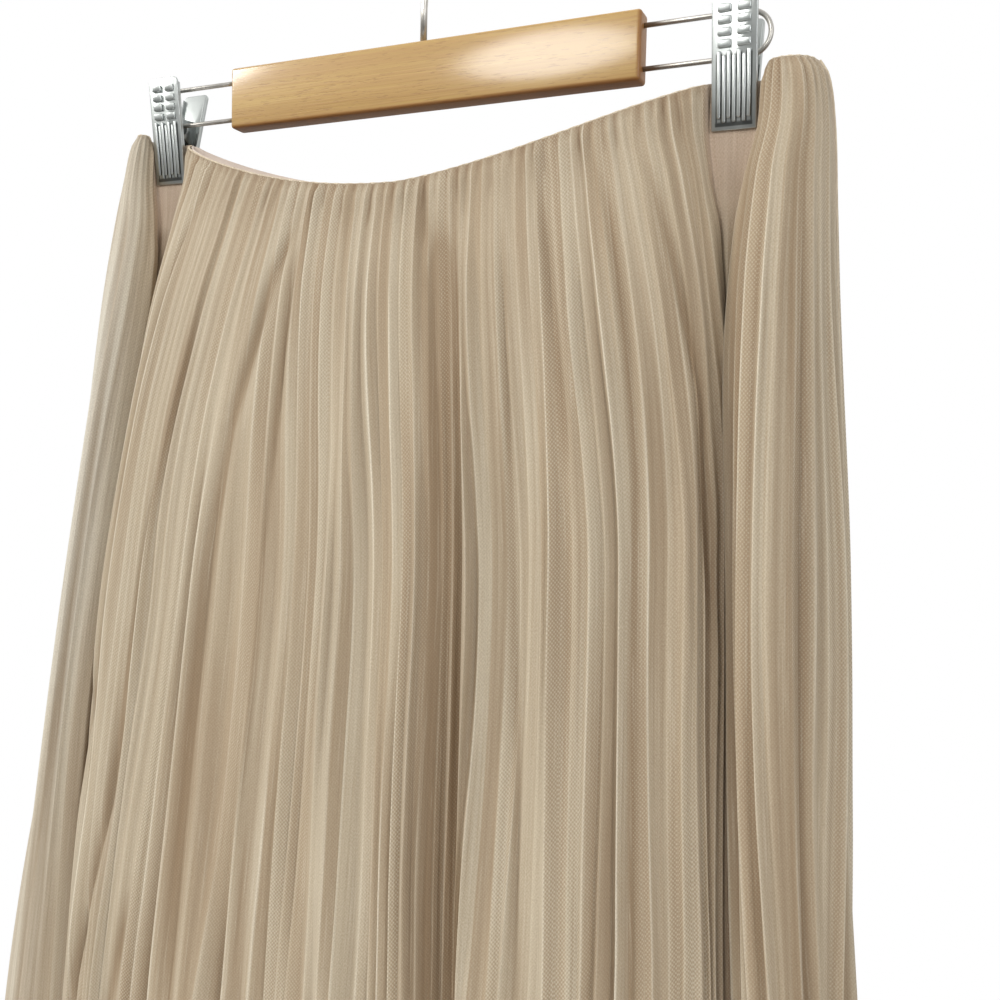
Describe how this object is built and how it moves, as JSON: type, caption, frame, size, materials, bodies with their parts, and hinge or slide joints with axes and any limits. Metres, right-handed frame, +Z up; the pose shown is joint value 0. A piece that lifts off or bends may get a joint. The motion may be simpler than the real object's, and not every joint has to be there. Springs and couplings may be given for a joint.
{
  "type": "pleated net maxi skirt on a wooden clip hanger",
  "caption": "Long pleated net skirt with a gathered waist and plain lining, pinched in by the two clips of a wooden bar hanger with a wire hook.",
  "frame": {"origin": "inside crown of the hook, where a rail carries the hanger", "axes": "+Z up through the hook, +X along the wooden bar, the front of the skirt towards -Y"},
  "size_m": [0.531, 0.1602, 1.0372],
  "materials": {
    "net_cloth": "fine pleated net with a soft sheen on the ridges",
    "lining_cloth": "smooth plain lining",
    "bar_wood": "clear varnished beech",
    "clip_chrome": "bright plated pressed steel",
    "hanger_wire": "satin plated wire"
  },
  "bodies": {
    "root": {"skirt_front": "net_cloth", "skirt_back": "net_cloth", "lining_front": "lining_cloth", "lining_back": "lining_cloth", "hanger_bar": "bar_wood", "hook": "hanger_wire", "wire_left": "hanger_wire", "wire_right": "hanger_wire", "clip_front_left": "clip_chrome", "clip_back_left": "clip_chrome", "clip_spring_left": "hanger_wire", "clip_front_right": "clip_chrome", "clip_back_right": "clip_chrome", "clip_spring_right": "hanger_wire"}
  },
  "joints": []
}
